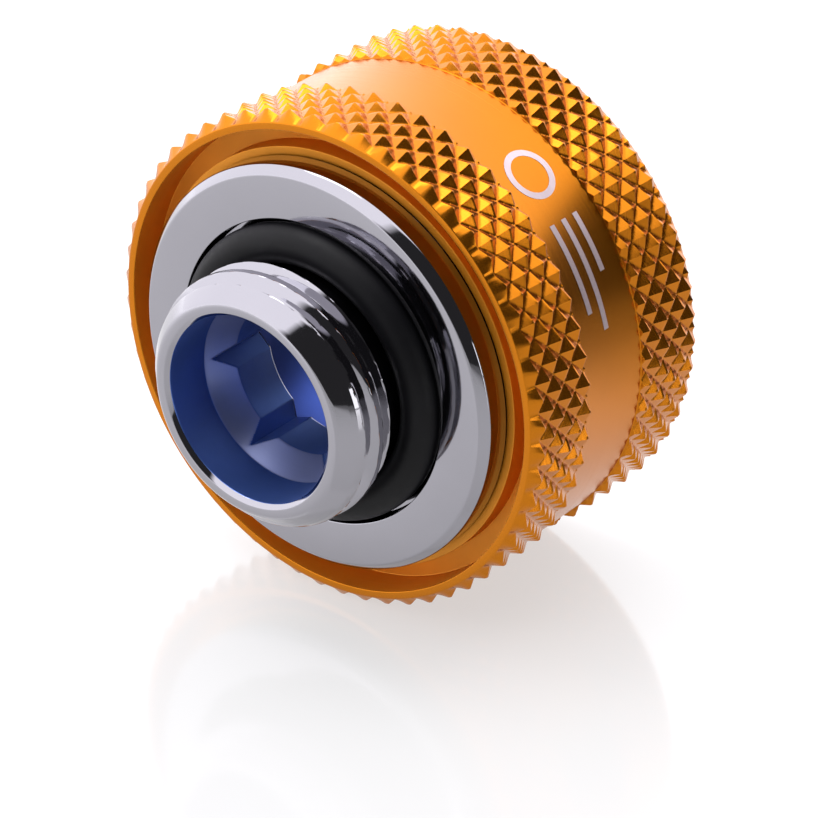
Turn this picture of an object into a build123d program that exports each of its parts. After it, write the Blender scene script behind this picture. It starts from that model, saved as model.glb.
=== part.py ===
from build123d import *
import os
from math import cos, radians, sin

# G1/4 compression fitting for 14 mm rigid tube.  It lies on its side: the axis is Y, the
# port thread points to -Y, the tube goes in from +Y, and the origin is the centre of the
# flange face that seals on the port.  Radii and stations along Y are in millimetres.

# port end
port_crest_r = 6.55       # thread crest, G1/4
port_root_r = 5.79        # thread root
port_pitch = 1.337
port_crest_flat = 0.22
port_root_flat = 0.14
first_groove_y = 0.62     # from the end of the bevel to the first groove
last_groove_y = 0.40      # from the last groove to the end of the thread, at least
tip_y = -4.85             # end face of the port thread
tip_face_r = 5.53         # outer edge of the flat end face, before the 45 degree bevel
thread_end_y = -1.95      # last full crest
neck_r = 5.73             # undercut that the port O-ring sits on
bore_r = 4.84             # entry bore
bore_lip = 0.22           # chamfer at the mouth of the entry bore

# key socket inside the bore: a round pilot hole with six sharp notches
pilot_r = 3.94
notch_tip_r = 4.62
notch_half_deg = 9.5      # half width of a notch where it opens into the pilot hole
first_notch_deg = 30.0    # measured from +Z towards +X
cone_start_y = -2.15      # the entry bore narrows to the pilot hole over this cone
cone_end_y = -0.75
tube_stop_y = 1.80        # shoulder the tube rests on, and the back of the key socket

# flange and port O-ring
flange_r = 10.60
flange_chamfer = 0.40
flange_back_y = 1.65
flange_back_chamfer = 0.15
seat_r = 7.95             # recess in the flange face for the port O-ring
seat_depth = 1.10
port_ring_d = 2.00        # cord diameter
ring_gap = 0.01           # between an O-ring and its groove

# collar thread, right hand
collar_pitch = 1.0
male_crest_r = 10.40
male_root_r = 9.80
female_r = 10.46
male_crest_flat = 0.14
male_root_flat = 0.16
male_start_y = 1.90       # the 45 degree lead-in starts here
male_end_y = 6.85
relief_r = 9.70
nose_r = 9.50             # plain rear end of the body
nose_y = 9.40
nose_step = 0.20
nose_chamfer = 0.30

# tube socket
socket_r = 7.06
groove_r = 8.35
groove_width = 1.70
groove_ys = (2.30, 6.75)  # front edge of each inner O-ring groove
tube_ring_d = 1.62
seat_cone_y = 8.75        # the 45 degree cone at the back of the socket starts here
seat_cone_r = 7.71

# loose rings behind the body
seal_y = (9.44, 11.30)
seal_r = 9.40
seal_bore_r = 7.12
seal_gap = 0.10           # along the axis, between the seal's nose and its cone
seal_inset = 0.02         # of the nose's outer edge from the cone's
washer_y = (11.36, 12.06)
washer_r = 9.45
washer_bore_r = 7.15
grip_y = (12.12, 13.30)
grip_r = (9.50, 8.32)     # big and small end of the taper
grip_root_r = 7.45
grip_tooth_r = 7.12
grip_teeth = 3
grip_tooth_flat = 0.05
grip_slot = 1.2

# collar
rim_y = 1.00
rim_bore_r = 12.08
rim_land_r = 12.45
knurl_r = 13.00           # over the tips
band_r = 12.62            # smooth recessed band between the knurls
band_edge = 0.08
front_knurl_y = (1.47, 5.20)
rear_knurl_y = (9.90, 14.15)
collar_end_y = 14.55
ledge_y = 1.75            # face of the threaded sleeve, just behind the flange
ledge_r = 11.00
recess_y = 2.90           # bottom of the groove between the sleeve and the rim
ledge_chamfer = 0.10
female_end_y = 8.00
female_lead = 0.60        # taper from the thread to the chamber
chamber_r = 9.65
collar_taper_y = 12.10
collar_wall_y = 13.38
tube_hole_r = 7.10
tube_hole_chamfer = 0.35
grip_clearance = 0.08     # round the small end of the grip ring


def turned(points):
    """Solid of revolution about Y from (radius, y) points."""
    outline = make_face(Polyline([(r, y) for r, y in points], close=True))
    return revolve(outline, axis=Axis.Y)


def turns(crest_r, root_r, pitch, first_y, last_y, crest_flat, root_flat):
    """Outline points of thread turns, each groove centred a pitch on from the last."""
    points = []
    wide, y = (pitch - crest_flat) / 2, first_y
    while y < last_y:
        points += [(crest_r, y - wide), (root_r, y - root_flat / 2),
                   (root_r, y + root_flat / 2), (crest_r, y + wide)]
        y += pitch
    return points


def ring(centre_r, centre_y, cord_d):
    """O-ring about Y."""
    circle = Plane.XY * Pos(centre_r, centre_y) * Circle(cord_d / 2)
    return revolve(circle, axis=Axis.Y)


def body_outline():
    """Half section of the fitting body, from the bore mouth round the outside and back."""
    bevel = port_crest_r - tip_face_r
    shoulder = port_crest_r - neck_r
    points = [(bore_r, tip_y + bore_lip), (bore_r + bore_lip, tip_y), (tip_face_r, tip_y),
              (port_crest_r, tip_y + bevel)]
    points += turns(port_crest_r, port_root_r, port_pitch, tip_y + bevel + first_groove_y,
                    thread_end_y - last_groove_y, port_crest_flat, port_root_flat)
    points += [(port_crest_r, thread_end_y),
              (neck_r, thread_end_y + shoulder), (neck_r, seat_depth), (seat_r, seat_depth),
              (seat_r, 0), (flange_r - flange_chamfer, 0), (flange_r, flange_chamfer),
              (flange_r, flange_back_y - flange_back_chamfer),
              (flange_r - flange_back_chamfer, flange_back_y), (relief_r, flange_back_y)]
    lead = male_crest_r - relief_r
    half_turn = collar_pitch / 2
    points += [(relief_r, male_start_y), (male_crest_r, male_start_y + lead)]
    points += turns(male_crest_r, male_root_r, collar_pitch, male_start_y + lead + half_turn,
                    male_end_y - lead - half_turn, male_crest_flat, male_root_flat)
    points += [(male_crest_r, male_end_y - lead), (relief_r, male_end_y),
               (nose_r, male_end_y + nose_step), (nose_r, nose_y - nose_chamfer),
               (nose_r - nose_chamfer, nose_y), (seat_cone_r, nose_y), (socket_r, seat_cone_y)]
    for y in reversed(groove_ys):
        points += [(socket_r, y + groove_width), (groove_r, y + groove_width),
                   (groove_r, y), (socket_r, y)]
    points += [(socket_r, tube_stop_y), (pilot_r, tube_stop_y),
               (pilot_r, cone_end_y), (bore_r, cone_start_y)]
    return points


def notch_cutter():
    """Six-pointed broach, pushed in from the port end as far as the tube stop."""
    corners = []
    for k in range(6):
        tip_deg = first_notch_deg + 60 * k
        for radius, deg in ((pilot_r - 0.01, tip_deg - notch_half_deg), (notch_tip_r, tip_deg),
                            (pilot_r - 0.01, tip_deg + notch_half_deg)):
            corners.append((radius * sin(radians(deg)), tip_y - 1, radius * cos(radians(deg))))
    face = make_face(Polyline(corners, close=True))
    return extrude(face, amount=tube_stop_y + 0.3 - tip_y + 1, dir=(0, 1, 0))


def fitting_body():
    return turned(body_outline()) - notch_cutter()


def collar_outline():
    """Half section of the collar, from the rim round the outside and back through the bore."""
    step = collar_end_y - rear_knurl_y[1]
    return [(rim_bore_r, rim_y), (rim_land_r, rim_y), (knurl_r, front_knurl_y[0]),
            (knurl_r, front_knurl_y[1]), (band_r, front_knurl_y[1] + band_edge),
            (band_r, rear_knurl_y[0] - band_edge), (knurl_r, rear_knurl_y[0]),
            (knurl_r, rear_knurl_y[1]), (knurl_r - step, collar_end_y),
            (tube_hole_r + tube_hole_chamfer, collar_end_y),
            (tube_hole_r, collar_end_y - tube_hole_chamfer), (tube_hole_r, collar_wall_y),
            (grip_r[1] + grip_clearance, collar_wall_y),
            (chamber_r, collar_taper_y), (chamber_r, female_end_y),
            (female_r, female_end_y - female_lead), (female_r, ledge_y + ledge_chamfer),
            (female_r + ledge_chamfer, ledge_y), (ledge_r, ledge_y), (ledge_r, recess_y),
            (rim_bore_r, recess_y)]


def collar():
    return turned(collar_outline())


def compression_seal():
    """Rubber ring with a 45 degree nose that the collar squeezes onto the tube."""
    front, back = seal_y
    return turned([(seal_bore_r, seat_cone_y + seal_gap), (seat_cone_r - seal_inset, front),
                   (seal_r, front), (seal_r, back), (seal_bore_r, back)])


def thrust_washer():
    front, back = washer_y
    return turned([(washer_bore_r, front), (washer_r, front), (washer_r, back),
                   (washer_bore_r, back)])


def grip_ring():
    """Split ring, tapered outside, with inner teeth that bite the tube."""
    front, back = grip_y
    big, small = grip_r
    step = (back - front) / grip_teeth
    points = [(big, front), (small, back)]
    for k in reversed(range(grip_teeth)):
        tooth_y = front + step * k + grip_tooth_flat
        points += [(grip_root_r, front + step * (k + 1)), (grip_tooth_r, tooth_y)]
    slot = Pos(0, (front + back) / 2, -big) * Box(grip_slot, back - front + 1, big)
    return turned(points) - slot


def groove_ring(groove_y):
    """O-ring in one of the tube socket's grooves, against the groove's bottom."""
    centre_r = groove_r - ring_gap - tube_ring_d / 2
    return ring(centre_r, groove_y + groove_width / 2, tube_ring_d)


def port_ring():
    """O-ring round the neck, against the bottom of the recess in the flange face."""
    radius = port_ring_d / 2
    return ring(neck_r + ring_gap + radius, seat_depth - ring_gap - radius, port_ring_d)


nodes = {
    "fitting_body": fitting_body(),
    "port_o_ring": port_ring(),
    "tube_o_ring_front": groove_ring(groove_ys[0]),
    "tube_o_ring_rear": groove_ring(groove_ys[1]),
    "compression_seal": compression_seal(),
    "thrust_washer": thrust_washer(),
    "grip_ring": grip_ring(),
    "collar": collar(),
}

os.makedirs("parts", exist_ok=True)
for name, solid in nodes.items():
    export_step(solid, f"parts/{name}.step")
    box = solid.bounding_box()
    print(name, round(solid.volume, 2), "mm3", box.min, box.max)
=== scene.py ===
import math

import bpy
import numpy as np
from mathutils import Matrix, Vector


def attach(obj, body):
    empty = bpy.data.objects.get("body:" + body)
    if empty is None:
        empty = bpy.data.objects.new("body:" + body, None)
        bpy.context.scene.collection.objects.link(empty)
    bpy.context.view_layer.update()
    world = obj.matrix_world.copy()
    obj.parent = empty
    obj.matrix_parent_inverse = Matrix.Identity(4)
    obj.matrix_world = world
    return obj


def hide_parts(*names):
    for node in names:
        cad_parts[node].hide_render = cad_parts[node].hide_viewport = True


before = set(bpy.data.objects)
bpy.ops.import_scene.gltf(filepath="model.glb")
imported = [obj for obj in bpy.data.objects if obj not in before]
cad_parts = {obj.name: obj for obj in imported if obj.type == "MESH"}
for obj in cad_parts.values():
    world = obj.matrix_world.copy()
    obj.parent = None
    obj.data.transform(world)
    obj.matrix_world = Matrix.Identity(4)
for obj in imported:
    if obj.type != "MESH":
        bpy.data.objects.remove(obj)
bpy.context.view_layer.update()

MM = 0.001
TAU = 2 * math.pi

# The axis is Y, the port thread points to -Y and the origin is the centre of the flange
# face.  Radii and stations along Y are in millimetres until a mesh is made.  A turn is an
# angle about Y, from +Z towards +X.

# port thread
TIP_Y = -4.85
TIP_FACE_R = 5.53
TIP_ROUND = 0.25
CREST_R = 6.53
CREST_ROUND = 0.60
NECK_R = 5.73
UNDERCUT = 0.75              # from the last crest down to the neck
THREAD_END_Y = -1.95
PORT_PITCH = 1.337
PORT_DEPTH = 0.62
PORT_FLATS = (0.34, 0.16)    # crest and root
PORT_START = 0.15            # phase of the first groove, in turns

# bore and key socket
BORE_R = 4.84
BORE_LIP = 0.22
BLUE_START = 0.20            # depth in the bore where the blue begins
PILOT_R = 3.94
NOTCH_TIP_R = 4.62
NOTCH_HALF = math.radians(9.5)
FIRST_NOTCH = math.radians(30)
CONE_Y = (-2.15, -0.75)
STOP_Y = 1.80

# flange and collar thread
FLANGE_R = 10.60
FLANGE_CHAMFER = 0.40
FLANGE_ROUND = 0.10
FLANGE_BACK_Y = 1.65
SEAT_R = 7.95
SEAT_Y = 1.10
RELIEF_R = 9.70
MALE_R = 10.40
MALE_LEAD = 0.70
MALE_Y = (1.90, 6.85)
MALE_ZONE = (1.70, 7.00)     # where the outside is meshed finely for the thread
MALE_DEPTH = 0.60
MALE_FLATS = (0.14, 0.14)
COLLAR_PITCH = 1.0
NOSE_R = 9.50
NOSE_STEP = 0.20
NOSE_Y = 9.40

# tube socket
SOCKET_R = 7.06
GROOVE_R = 8.35
GROOVE_WIDTH = 1.70
GROOVE_YS = (2.30, 6.75)
SEAT_CONE = ((SOCKET_R, 8.75), (7.71, NOSE_Y))

# O-rings
PORT_RING_D = 2.00
TUBE_RING_D = 1.62
RING_GAP = 0.01
RING_SEGMENTS = 240
CORD_SEGMENTS = 40

# collar
RIM_Y = 1.00
RIM_BORE_R = 12.08
RIM_LAND_R = 12.45
KNURL_R = 13.00
KNURL_TEETH = 56
KNURL_DEPTH = 0.34
KNURL_GROOVE = 0.07          # flat groove bottom, in half pitches
KNURL_RISE = 0.83
FRONT_KNURL = (1.47, 5.20)
REAR_KNURL = (9.90, 14.15)
BAND_R = 12.62
BAND_EDGE = 0.08
COLLAR_END_Y = 14.55
TUBE_HOLE_R = 7.10
TUBE_HOLE_CHAMFER = 0.35
COLLAR_WALL_Y = 13.38
GRIP_SEAT_R = 8.40
TAPER_Y = 12.10
CHAMBER_R = 9.65
FEMALE_END_Y = 8.00
FEMALE_LEAD = 0.60
FEMALE_R = 10.46
LEDGE_Y = 1.75
LEDGE_R = 11.00
LEDGE_CHAMFER = 0.10
RECESS_Y = 2.90

# loose rings behind the body
SEAL_BORE_R = 7.12
SEAL_NOSE = (7.69, 8.85)     # outer radius, tip
SEAL_R = 9.40
SEAL_Y = (9.44, 11.30)
SEAL_ROUND = 0.12
WASHER_R = (7.15, 9.45)
WASHER_Y = (11.36, 12.06)
WASHER_ROUND = 0.08
GRIP_R = (9.50, 8.32)
GRIP_Y = (12.12, 13.30)
GRIP_ROOT_R = 7.45
GRIP_TIP_R = 7.12
GRIP_TEETH = ((12.95, 13.30), (12.56, 12.93), (12.17, 12.53))    # tip and root along Y
GRIP_ROUND = 0.04
GRIP_SLOT = 1.2
GRIP_SLOT_R = 8.3            # radius at which the slot has that width

# mark on the band
MARK_LIFT = 0.012
MARK_RING = (37, 7.4)        # centre: degrees of turn, y
MARK_RING_RADII = (1.05, 1.40)
MARK_RING_STEPS = 72
MARK_BARS = ((6.35, 49, 70), (7.25, 49, 75), (8.15, 49, 63))     # y, first and last degree
MARK_BAR_WIDTH = 0.34
MARK_BAR_STEPS = 60

# meshing
BODY_SEGMENTS = 480
TOOTH_SEGMENTS = 20
BODY_ROUND = 0.06
COLLAR_ROUND = 0.05
THREAD_STEP = 0.045
BORE_STEP = 0.08
KNURL_STEP = 0.062
ONE_STEP = 1e3
NEAR, CLEAR = 0.01, 0.10     # distances that tell one surface from the next

# camera and studio
RIGHT = Vector((0.7916, 0.6111, 0.0))
FORWARD = Vector((-0.5329, 0.6903, -0.4894))
UP = Vector((-0.2991, 0.3874, 0.8721))
CAMERA_PLACE = (4.812, -1.729, -189.765)     # along RIGHT, UP and FORWARD
LENS, SENSOR = 173.1, 36.0
FLOOR_HALF = 1.6
PAINTED_POOL_SPAN = (0.034, 0.080)        # metres towards RIGHT over which the painted pool of light on the floor fades
# glow strengths of the painted pool of light, inside and beyond its fade
PAINTED_POOL_GLOW = (0.595, 0.12)
DARK_SIDE = (0.85, -0.31, -0.34)
TENT_EDGE = (-0.03, 0.06)
TENT, ROOM = 2.3, 0.05


# ---------------------------------------------------------------- meshes

def mesh_object(name, verts, faces, smooth_deg=32):
    """Smooth mesh from points in millimetres, with sharp edges above that angle."""
    mesh = bpy.data.meshes.new(name)
    mesh.from_pydata([tuple(v) for v in np.asarray(verts) * MM], [], faces)
    mesh.validate()
    mesh.shade_smooth()
    if smooth_deg is not None:
        mesh.set_sharp_from_angle(angle=math.radians(smooth_deg))
    piece = bpy.data.objects.new(name, mesh)
    bpy.context.scene.collection.objects.link(piece)
    return piece


def rounded(points, cut, steps=4):
    """The closed outline with small arcs at its corners; a point may carry its own cut."""
    most = 0.45              # share of an edge that one corner may take
    cuts = [p[2] if len(p) > 2 else cut for p in points]
    points = [np.array(p[:2], float) for p in points]
    out = []
    for i, p in enumerate(points):
        before, after = points[i - 1] - p, points[(i + 1) % len(points)] - p
        length_before, length_after = np.linalg.norm(before), np.linalg.norm(after)
        size = min(cuts[i], length_before * most, length_after * most)
        a, b = p + before / length_before * size, p + after / length_after * size
        for k in range(steps + 1):
            t = k / steps
            out.append(tuple((1 - t) ** 2 * a + 2 * t * (1 - t) * p + t ** 2 * b))
    return out


def fine(p, q, step):
    """Points from p up to but not including q, about step apart."""
    p, q = np.array(p, float), np.array(q, float)
    count = max(1, int(round(np.linalg.norm(q - p) / step)))
    return [tuple(p + (q - p) * k / count) for k in range(count)]


def lathe(name, outline, segments=256, shape=None, start=0.0, sweep=TAU, smooth_deg=32):
    """Closed (radius, y) outline turned about Y.  shape(r, y, turn) may move the radius."""
    whole = sweep == TAU
    count = segments if whole else segments + 1
    rows = len(outline)
    ring = np.array(outline, float)
    radius = np.repeat(ring[:, 0][:, None], count, 1)
    y = np.repeat(ring[:, 1][:, None], count, 1)
    turn = np.repeat((start + sweep * np.arange(count) / segments)[None, :], rows, 0)
    if shape is not None:
        radius = shape(radius, y, turn)
    verts = np.stack([radius * np.sin(turn), y, radius * np.cos(turn)], -1).reshape(-1, 3)
    faces = []
    for i in range(rows):
        j = (i + 1) % rows
        for k in range(segments):
            m = (k + 1) % count
            faces.append((i * count + k, j * count + k, j * count + m, i * count + m))
    if not whole:
        faces.append([i * count for i in range(rows)][::-1])
        faces.append([i * count + count - 1 for i in range(rows)])
    return mesh_object(name, verts, faces, smooth_deg)


# ---------------------------------------------------------------- fitting body

def notch_radius(turn):
    """Radius of the six-notch key socket."""
    sixth = TAU / 6
    local = np.abs((turn - FIRST_NOTCH + sixth / 2) % sixth - sixth / 2)
    drop = NOTCH_TIP_R - PILOT_R * math.cos(NOTCH_HALF)
    lean = math.atan2(drop, PILOT_R * math.sin(NOTCH_HALF))
    return np.maximum(PILOT_R, NOTCH_TIP_R * math.cos(lean) / np.cos(lean - local))


def thread_cut(phase, depth, pitch, flats):
    """Depth of a soft-shouldered V groove at a phase from 0 to 1."""
    crest, root = flats
    softness = 0.55
    off = np.abs(((phase + 0.5) % 1.0) - 0.5) * pitch
    half_root, half_crest = root / 2, (pitch - crest) / 2
    t = np.clip((half_crest - off) / (half_crest - half_root), 0, 1)
    return depth * (t * t * (3 - 2 * t) * softness + t * (1 - softness))


def body_outline():
    """Half section from the bore mouth round the outside and back through the bore."""
    bevel = CREST_R - TIP_FACE_R
    points = [(BORE_R, TIP_Y + BORE_LIP), (BORE_R + BORE_LIP, TIP_Y),
              (TIP_FACE_R, TIP_Y, TIP_ROUND), (CREST_R, TIP_Y + bevel, CREST_ROUND),
              (CREST_R, THREAD_END_Y), (NECK_R, THREAD_END_Y + UNDERCUT),
              (NECK_R, SEAT_Y), (SEAT_R, SEAT_Y), (SEAT_R, 0.0),
              (FLANGE_R - FLANGE_CHAMFER, 0.0, FLANGE_ROUND),
              (FLANGE_R, FLANGE_CHAMFER, FLANGE_ROUND), (FLANGE_R, FLANGE_BACK_Y),
              (RELIEF_R, FLANGE_BACK_Y), (RELIEF_R, MALE_Y[0]),
              (MALE_R, MALE_Y[0] + MALE_LEAD), (MALE_R, MALE_Y[1] - MALE_LEAD),
              (RELIEF_R, MALE_Y[1]), (NOSE_R, MALE_Y[1] + NOSE_STEP), (NOSE_R, NOSE_Y),
              SEAT_CONE[1], SEAT_CONE[0]]
    for y in reversed(GROOVE_YS):
        points += [(SOCKET_R, y + GROOVE_WIDTH), (GROOVE_R, y + GROOVE_WIDTH),
                   (GROOVE_R, y), (SOCKET_R, y)]
    points += [(SOCKET_R, STOP_Y), (PILOT_R, STOP_Y), (PILOT_R, CONE_Y[1]), (BORE_R, CONE_Y[0])]
    return rounded(points, BODY_ROUND)


def body_rows():
    """The outline with rows close together where the threads and the notches are."""
    outline = body_outline()
    rows = []
    for i, p in enumerate(outline):
        q = outline[(i + 1) % len(outline)]
        on_port_thread = p[0] > NECK_R + CLEAR and p[1] < q[1] < THREAD_END_Y + UNDERCUT
        on_collar_thread = p[0] > RELIEF_R - NEAR and MALE_ZONE[0] < p[1] < MALE_ZONE[1]
        in_bore = max(p[0], q[0]) < BORE_R + NEAR
        if on_port_thread or on_collar_thread:
            step = THREAD_STEP
        else:
            step = BORE_STEP if in_bore else ONE_STEP
        rows += fine(p, q, step)
    return rows


def body_shape(radius, y, turn):
    """Cuts both outside threads as helices and opens the notches of the key socket."""
    port_phase = (y - TIP_Y) / PORT_PITCH - turn / TAU + PORT_START
    port = CREST_R - thread_cut(port_phase, PORT_DEPTH, PORT_PITCH, PORT_FLATS)
    on_port = (radius > NECK_R) & (y < THREAD_END_Y + UNDERCUT)
    radius = np.where(on_port, np.minimum(radius, port), radius)
    male_phase = (y - MALE_Y[0]) / COLLAR_PITCH - turn / TAU
    male = MALE_R - thread_cut(male_phase, MALE_DEPTH, COLLAR_PITCH, MALE_FLATS)
    on_male = (radius > RELIEF_R) & (y > MALE_ZONE[0]) & (y < MALE_ZONE[1])
    radius = np.where(on_male, np.minimum(radius, male), radius)
    in_bore = (radius < BORE_R + NEAR) & (y > TIP_Y + BORE_LIP) & (y < STOP_Y + NEAR)
    return np.where(in_bore, np.maximum(radius, notch_radius(turn)), radius)


# ---------------------------------------------------------------- collar

def knurl_lift(along, y):
    """0 in a groove, 1 on a tip; both arguments in half pitches."""
    u, v = (along + y) / 2, (along - y) / 2
    near = np.minimum(np.abs(u - np.round(u)), np.abs(v - np.round(v))) * 2
    return np.clip((near - KNURL_GROOVE) / KNURL_RISE, 0, 1)


def collar_outline():
    """Half section from the rim round the outside and back through the bore."""
    points = [(RIM_BORE_R, RIM_Y), (RIM_LAND_R, RIM_Y), (KNURL_R, FRONT_KNURL[0]),
              (KNURL_R, FRONT_KNURL[1]), (BAND_R, FRONT_KNURL[1] + BAND_EDGE),
              (BAND_R, REAR_KNURL[0] - BAND_EDGE), (KNURL_R, REAR_KNURL[0]),
              (KNURL_R, REAR_KNURL[1]), (RIM_LAND_R, COLLAR_END_Y),
              (TUBE_HOLE_R + TUBE_HOLE_CHAMFER, COLLAR_END_Y),
              (TUBE_HOLE_R, COLLAR_END_Y - TUBE_HOLE_CHAMFER), (TUBE_HOLE_R, COLLAR_WALL_Y),
              (GRIP_SEAT_R, COLLAR_WALL_Y), (CHAMBER_R, TAPER_Y), (CHAMBER_R, FEMALE_END_Y),
              (FEMALE_R, FEMALE_END_Y - FEMALE_LEAD), (FEMALE_R, LEDGE_Y + LEDGE_CHAMFER),
              (FEMALE_R + LEDGE_CHAMFER, LEDGE_Y), (LEDGE_R, LEDGE_Y), (LEDGE_R, RECESS_Y),
              (RIM_BORE_R, RECESS_Y)]
    return rounded(points, COLLAR_ROUND)


def collar_rows():
    """The outline with rows close together on the knurl and along the threaded bore."""
    outline = collar_outline()
    rows = []
    for i, p in enumerate(outline):
        q = outline[(i + 1) % len(outline)]
        knurled = min(p[0], q[0]) > BAND_R + NEAR
        threaded = abs(p[0] - FEMALE_R) < NEAR
        rows += fine(p, q, KNURL_STEP if knurled or threaded else ONE_STEP)
    return rows


def collar_shape(radius, y, turn):
    """Cuts the diamond knurl; only what stands above the groove bottoms is touched."""
    half_pitch = KNURL_R * TAU / KNURL_TEETH / 2
    lift = knurl_lift(turn * KNURL_TEETH * 2 / TAU, y / half_pitch)
    return np.minimum(radius, KNURL_R - KNURL_DEPTH * (1 - lift))


# ---------------------------------------------------------------- materials

def new_material(name):
    material = bpy.data.materials.new(name)
    material.use_nodes = True
    nodes = material.node_tree.nodes
    return material, nodes, material.node_tree.links, nodes["Principled BSDF"]


def add(nodes, kind, **inputs):
    """New node with its inputs set; an underscore in a keyword stands for a space."""
    node = nodes.new(kind)
    for key, value in inputs.items():
        node.inputs[key.replace("_", " ")].default_value = value
    return node


def ramp_colour(nodes, links, shader, noise, low, high, colours):
    """Base colour that goes from one colour to the other as the noise goes low to high."""
    ramp = nodes.new("ShaderNodeValToRGB")
    for element, place, colour in zip(ramp.color_ramp.elements, (low, high), colours):
        element.position = place
        element.color = (*colour, 1)
    links.new(noise.outputs["Fac"], ramp.inputs["Fac"])
    links.new(ramp.outputs["Color"], shader.inputs["Base Color"])


def uneven(nodes, links, shader, noise, roughness, bump, height):
    """Roughness between two values and a slight relief, both from the same noise."""
    rough = add(nodes, "ShaderNodeMapRange", To_Min=roughness[0], To_Max=roughness[1])
    links.new(noise.outputs["Fac"], rough.inputs["Value"])
    links.new(rough.outputs["Result"], shader.inputs["Roughness"])
    relief = add(nodes, "ShaderNodeBump", Strength=bump, Distance=height)
    links.new(noise.outputs["Fac"], relief.inputs["Height"])
    links.new(relief.outputs["Normal"], shader.inputs["Normal"])


def metal(name, colour, roughness, dark=0.8, bump=0.02, metallic=1.0):
    """Metal with a cloudy tint, fine turning marks round the axis and uneven polish."""
    material, nodes, links, shader = new_material(name)
    shader.inputs["Metallic"].default_value = metallic
    place = nodes.new("ShaderNodeTexCoord")
    cloud = add(nodes, "ShaderNodeTexNoise", Scale=260.0, Detail=4.0)
    links.new(place.outputs["Object"], cloud.inputs["Vector"])
    ramp_colour(nodes, links, shader, cloud, 0.30, 0.75, ([c * dark for c in colour], colour))
    squeeze = add(nodes, "ShaderNodeMapping", Scale=(20, 9000, 20))
    links.new(place.outputs["Object"], squeeze.inputs["Vector"])
    marks = add(nodes, "ShaderNodeTexNoise", Scale=1.0, Detail=2.0)
    links.new(squeeze.outputs["Vector"], marks.inputs["Vector"])
    uneven(nodes, links, shader, marks, (roughness * 0.75, roughness * 1.3), bump, 0.00004)
    return material


def soft(name, colour, roughness, light=1.5, shine=0.5):
    """Rubber or plastic: a fine grain, with lighter and darker patches."""
    material, nodes, links, shader = new_material(name)
    shader.inputs["Specular IOR Level"].default_value = shine
    place = nodes.new("ShaderNodeTexCoord")
    patches = add(nodes, "ShaderNodeTexNoise", Scale=420.0, Detail=3.0)
    links.new(place.outputs["Object"], patches.inputs["Vector"])
    lighter = [min(1, c * light) for c in colour]
    ramp_colour(nodes, links, shader, patches, 0.35, 0.70, (colour, lighter))
    grain = add(nodes, "ShaderNodeTexNoise", Scale=2600.0, Detail=5.0)
    links.new(place.outputs["Object"], grain.inputs["Vector"])
    uneven(nodes, links, shader, grain, (roughness * 0.85, roughness * 1.2), 0.12, 0.00003)
    return material


def give(piece, *materials):
    piece.data.materials.clear()
    for material in materials:
        piece.data.materials.append(material)


chrome = metal("chrome_plate", (0.325, 0.32, 0.35), 0.055, dark=0.96, bump=0.004)
gold = metal("gold_anodised", (0.54, 0.172, 0.007), 0.24, dark=0.93, bump=0.03, metallic=0.93)
# rougher gold for the recess inside the rim, its colour painted lighter than the polished gold
# to lift the shade there
inner_gold_painted_light = metal("gold_rough_painted_light", (0.84, 0.32, 0.018), 0.46, bump=0.05, metallic=0.6)
navy = metal("blue_bore", (0.09, 0.18, 0.52), 0.34, dark=0.75, metallic=0.7)
blue = metal("blue_socket", (0.03, 0.075, 0.38), 0.34, dark=0.75, metallic=0.7)
etched = metal("etched_mark", (0.66, 0.55, 0.58), 0.50, dark=0.85, bump=0.05)
violet = metal("bore_ledge", (0.27, 0.31, 0.52), 0.32, bump=0.05, metallic=0.7)
rubber = soft("black_rubber", (0.004, 0.004, 0.005), 0.46, shine=0.15)
nylon = soft("natural_nylon", (0.74, 0.71, 0.62), 0.42, light=1.1)


# ---------------------------------------------------------------- pieces

def colour_body(piece):
    """Navy bore with a violet ledge, blue tube socket, and chrome on all the rest."""
    give(piece, chrome, navy, violet, blue)
    steep = 0.35
    for polygon in piece.data.polygons:
        x, y, z = polygon.center / MM
        r = math.hypot(x, z)
        in_bore = r < BORE_R + BORE_LIP and TIP_Y + BLUE_START < y < STOP_Y - BODY_ROUND
        on_cone = CONE_Y[0] - CLEAR < y < CONE_Y[1] + BODY_ROUND
        on_stop = NOTCH_TIP_R + CLEAR < r < SOCKET_R and y > STOP_Y - CLEAR
        in_socket = r < GROOVE_R + NEAR and y > STOP_Y + NEAR
        if in_bore:
            polygon.material_index = 2 if on_cone and abs(polygon.normal.y) > steep else 1
        elif on_stop or in_socket:
            polygon.material_index = 3


body = lathe("fitting_body_turned", body_rows(), BODY_SEGMENTS, body_shape, smooth_deg=28)
colour_body(body)
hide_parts("fitting_body")
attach(body, "fitting")


def colour_collar(piece):
    """Polished gold, and rougher gold inside the rim with its colour painted lighter to lift
    the shade in the recess.
    """
    give(piece, gold, inner_gold_painted_light)
    for polygon in piece.data.polygons:
        x, y, z = polygon.center / MM
        # painted light: the recess inside the rim takes the lighter gold
        inside = math.hypot(x, z) < RIM_BORE_R + NEAR
        if inside and RIM_Y < y < RECESS_Y + COLLAR_ROUND:
            polygon.material_index = 1


collar = lathe("knurled_collar", collar_rows(), KNURL_TEETH * TOOTH_SEGMENTS, collar_shape,
               smooth_deg=24)
colour_collar(collar)
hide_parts("collar")
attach(collar, "collar")


def o_ring(name, centre_r, centre_y, cord_d, node):
    """O-ring about Y that rides on the fitting."""
    outline = []
    for k in range(CORD_SEGMENTS):
        angle = TAU * k / CORD_SEGMENTS
        outline.append((centre_r + cord_d / 2 * math.cos(angle),
                        centre_y + cord_d / 2 * math.sin(angle)))
    piece = lathe(name, outline, RING_SEGMENTS, smooth_deg=None)
    give(piece, rubber)
    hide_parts(node)
    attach(piece, "fitting")


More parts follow.
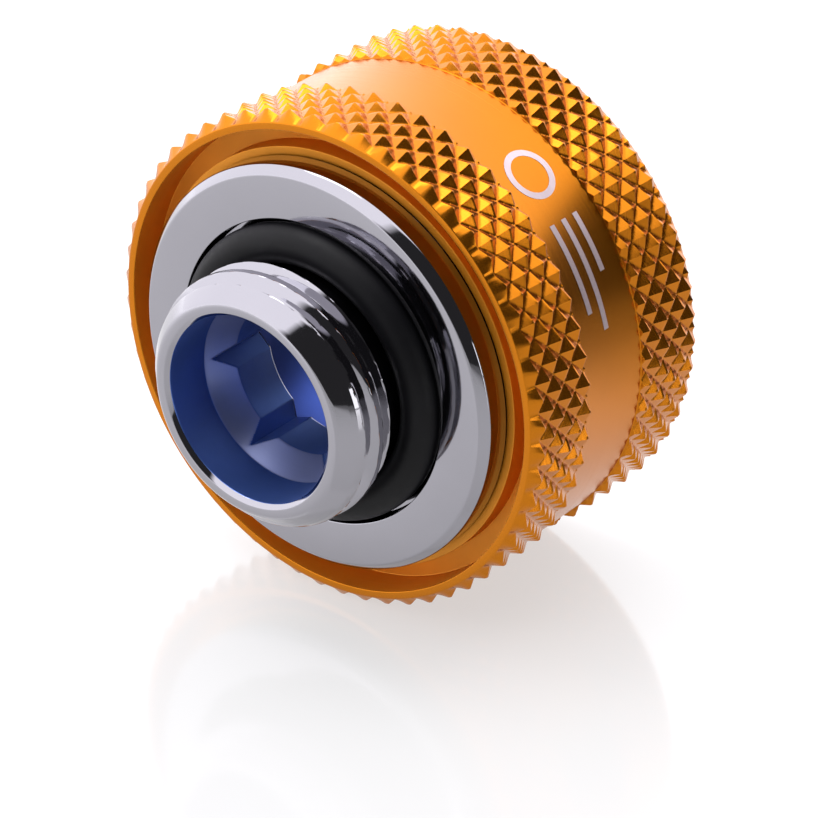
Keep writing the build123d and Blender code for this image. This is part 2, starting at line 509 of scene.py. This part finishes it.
port_ring_reach = RING_GAP + PORT_RING_D / 2
o_ring("port_ring_rubber", NECK_R + port_ring_reach, SEAT_Y - port_ring_reach, PORT_RING_D,
       "port_o_ring")
for place, groove_y in zip(("front", "rear"), GROOVE_YS):
    o_ring(f"tube_ring_rubber_{place}", GROOVE_R - RING_GAP - TUBE_RING_D / 2,
           groove_y + GROOVE_WIDTH / 2, TUBE_RING_D, f"tube_o_ring_{place}")

seal_outline = [(SEAL_BORE_R, SEAL_NOSE[1]), (SEAL_NOSE[0], SEAL_Y[0]), (SEAL_R, SEAL_Y[0]),
                (SEAL_R, SEAL_Y[1]), (SEAL_BORE_R, SEAL_Y[1])]
seal = lathe("seal_rubber", rounded(seal_outline, SEAL_ROUND))
give(seal, rubber)
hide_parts("compression_seal")
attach(seal, "fitting")

washer_outline = [(WASHER_R[0], WASHER_Y[0]), (WASHER_R[1], WASHER_Y[0]),
                  (WASHER_R[1], WASHER_Y[1]), (WASHER_R[0], WASHER_Y[1])]
washer = lathe("washer_nylon", rounded(washer_outline, WASHER_ROUND))
give(washer, nylon)
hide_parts("thrust_washer")
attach(washer, "carrier")

grip_outline = [(GRIP_R[0], GRIP_Y[0]), (GRIP_R[1], GRIP_Y[1])]
for tip_y, root_y in GRIP_TEETH:
    grip_outline += [(GRIP_ROOT_R, root_y), (GRIP_TIP_R, tip_y)]
slot_half = math.asin(GRIP_SLOT / 2 / GRIP_SLOT_R)
grip = lathe("grip_ring_nylon", rounded(grip_outline, GRIP_ROUND),
             start=math.pi + slot_half, sweep=TAU - 2 * slot_half)
give(grip, nylon)
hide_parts("grip_ring")
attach(grip, "carrier")


def mark_ring_point(radius, k):
    """Point k of a circle drawn round the mark's centre: degrees of turn, y."""
    angle = TAU * k / MARK_RING_STEPS
    return (MARK_RING[0] + math.degrees(radius * math.cos(angle) / BAND_R),
            MARK_RING[1] + radius * math.sin(angle))


def band_mark():
    """A plain ring and three bars etched on the smooth band, wrapped round it."""
    strips = [[[mark_ring_point(radius, k) for k in range(MARK_RING_STEPS + 1)]
               for radius in MARK_RING_RADII]]
    for y, first, last in MARK_BARS:
        degrees = np.linspace(first, last, MARK_BAR_STEPS + 1)
        strips.append([[(deg, edge) for deg in degrees] for edge in (y, y + MARK_BAR_WIDTH)])
    verts, faces = [], []
    radius = BAND_R + MARK_LIFT
    for lower, upper in strips:
        a, count = len(verts), len(lower)
        for deg, y in lower + upper:
            turn = math.radians(deg)
            verts.append((radius * math.sin(turn), y, radius * math.cos(turn)))
        for k in range(a, a + count - 1):
            faces.append((k, k + 1, k + count + 1, k + count))
    return mesh_object("band_mark", verts, faces, None)


mark = band_mark()
give(mark, etched)
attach(mark, "collar")


# ---------------------------------------------------------------- camera, floor and light

def set_camera():
    data = bpy.data.cameras.new("camera")
    data.lens, data.sensor_width = LENS, SENSOR
    data.clip_start, data.clip_end = 0.01, 20.0
    camera = bpy.data.objects.new("camera", data)
    bpy.context.scene.collection.objects.link(camera)
    along_right, along_up, along_forward = CAMERA_PLACE
    place = RIGHT * along_right + UP * along_up + FORWARD * along_forward
    aim = Matrix((RIGHT, UP, -FORWARD)).transposed().to_4x4()
    camera.matrix_world = Matrix.Translation(place * MM) @ aim
    bpy.context.scene.camera = camera
    bpy.context.scene.view_settings.view_transform = "Standard"


def fade(nodes, links, vector, towards, edges, values):
    """Value that goes from one to the other as vector reaches further in a direction."""
    reach = nodes.new("ShaderNodeVectorMath")
    reach.operation = "DOT_PRODUCT"
    reach.inputs[1].default_value = towards
    links.new(vector, reach.inputs[0])
    ramp = add(nodes, "ShaderNodeMapRange", From_Min=edges[0], From_Max=edges[1],
               To_Min=values[0], To_Max=values[1])
    links.new(reach.outputs["Value"], ramp.inputs["Value"])
    return ramp.outputs["Result"]


def floor_painted_pool():
    """Pale floor with a painted pool of light: a faint glow of its own that fades towards the
    dark side.
    """
    material, nodes, links, shader = new_material("floor_painted_pool")
    shader.inputs["Base Color"].default_value = (0.26, 0.26, 0.26, 1)
    shader.inputs["Roughness"].default_value = 0.10
    shader.inputs["Specular IOR Level"].default_value = 0.5
    shader.inputs["Emission Color"].default_value = (1, 1, 1, 1)
    place = nodes.new("ShaderNodeTexCoord")
    # painted pool of light: the floor glows brighter on the left and fades towards the right
    glow = fade(nodes, links, place.outputs["Object"], RIGHT, PAINTED_POOL_SPAN, PAINTED_POOL_GLOW)
    links.new(glow, shader.inputs["Emission Strength"])
    return material


def make_floor():
    """Square floor that the collar rests on."""
    corners = [(-1, -1), (1, -1), (1, 1), (-1, 1)]
    mesh = bpy.data.meshes.new("floor")
    mesh.from_pydata([(x * FLOOR_HALF, y * FLOOR_HALF, -KNURL_R * MM) for x, y in corners], [],
                     [(0, 1, 2, 3)])
    floor = bpy.data.objects.new("floor", mesh)
    bpy.context.scene.collection.objects.link(floor)
    give(floor, floor_painted_pool())
    return floor


def softbox(name, towards, distance, size, radiance):
    """Square soft light in that direction from the object, facing it."""
    data = bpy.data.lights.new(name, "AREA")
    data.shape, data.size, data.size_y = "RECTANGLE", size, size
    data.energy = radiance * math.pi * size * size
    light = bpy.data.objects.new(name, data)
    towards = Vector(towards).normalized()
    light.location = towards * distance
    light.rotation_mode = "QUATERNION"
    light.rotation_quaternion = towards.to_track_quat("Z", "Y")
    bpy.context.scene.collection.objects.link(light)


def set_world():
    """The studio: a bright tent on the left, back and top, and a dark room on the right."""
    world = bpy.data.worlds.new("studio")
    bpy.context.scene.world = world
    world.use_nodes = True
    nodes, links = world.node_tree.nodes, world.node_tree.links
    direction = nodes.new("ShaderNodeTexCoord")
    strength = fade(nodes, links, direction.outputs["Generated"], DARK_SIDE, TENT_EDGE,
                    (TENT, ROOM))
    links.new(strength, nodes["Background"].inputs["Strength"])
    nodes["Background"].inputs["Color"].default_value = (0.98, 0.96, 1.0, 1)


set_camera()
floor = make_floor()
softbox("overhead", (-0.39, -0.06, 0.91), distance=0.80, size=0.40, radiance=3.6)
softbox("right_key", (0.98, -0.15, 0.12), distance=0.60, size=0.16, radiance=3.0)
set_world()
